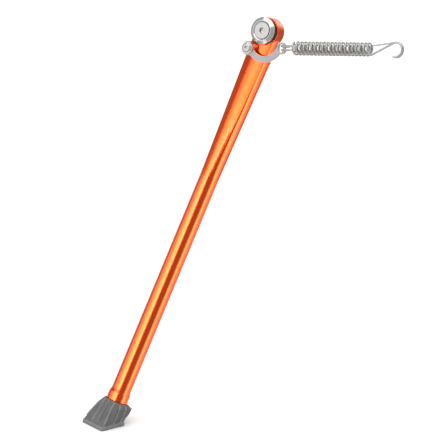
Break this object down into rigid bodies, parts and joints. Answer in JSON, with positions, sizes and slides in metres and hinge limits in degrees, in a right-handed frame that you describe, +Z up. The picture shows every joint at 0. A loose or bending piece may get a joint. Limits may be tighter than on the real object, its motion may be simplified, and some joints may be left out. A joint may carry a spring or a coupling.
{
  "type": "motorcycle side stand",
  "caption": "Self-retracting side stand: a round aluminium leg with a pivot eye and a ribbed cast foot, a crescent link and nested return springs.",
  "frame": {"origin": "centre of the pivot, on the axis of the round bar", "axes": "+Z up, +X towards the rear wheel, -Y outboard; the leg is deployed with its sole on level ground"},
  "size_m": [0.2676, 0.1898, 0.3934],
  "materials": {
    "anodised_aluminium": "satin orange anodised",
    "cast_grey": "matte as cast, dark grey",
    "bright_steel": "turned and polished stainless steel",
    "fastener_steel": "stainless steel screw",
    "plate_steel": "satin blasted stainless plate",
    "spring_steel": "drawn spring wire",
    "black_rubber": "matte rubber"
  },
  "bodies": {
    "pivot": {"pivot_flange_bush": "bright_steel", "pivot_sleeve": "bright_steel", "large_o_ring": "black_rubber", "small_o_ring": "black_rubber", "pivot_screw": "fastener_steel"},
    "leg": {"stand_leg": "anodised_aluminium", "foot": "cast_grey", "foot_screw": "fastener_steel", "foot_washer": "fastener_steel", "foot_dowel": "fastener_steel", "link_bush": "bright_steel", "link_screw": "fastener_steel"},
    "link": {"spring_link": "plate_steel"},
    "springs": {"outer_spring": "spring_steel", "inner_spring": "spring_steel"}
  },
  "joints": [
    {"name": "leg_swing", "type": "hinge", "parent": "pivot", "child": "leg", "pos_m": [0, 0, 0], "axis": [0, -0.9272, 0.3746], "range_deg": [0, 95]},
    {"name": "link_pivot", "type": "hinge", "parent": "leg", "child": "link", "pos_m": [-0.01121, -0.00715, -0.0177], "axis": [0, -0.9272, 0.3746], "range_deg": [-96.73, 0.01]},
    {"name": "spring_swing", "type": "hinge", "parent": "pivot", "child": "springs", "pos_m": [0.15227, 0.00365, 0.00903], "axis": [0, -0.9272, 0.3746], "range_deg": [-1.73, 0.01], "deforming": ["outer_spring", "inner_spring"]}
  ],
  "couplings": [
    {"joint": "link_pivot", "follows": "leg_swing", "ratio": -1.0181},
    {"joint": "spring_swing", "follows": "leg_swing", "ratio": -0.01812}
  ]
}
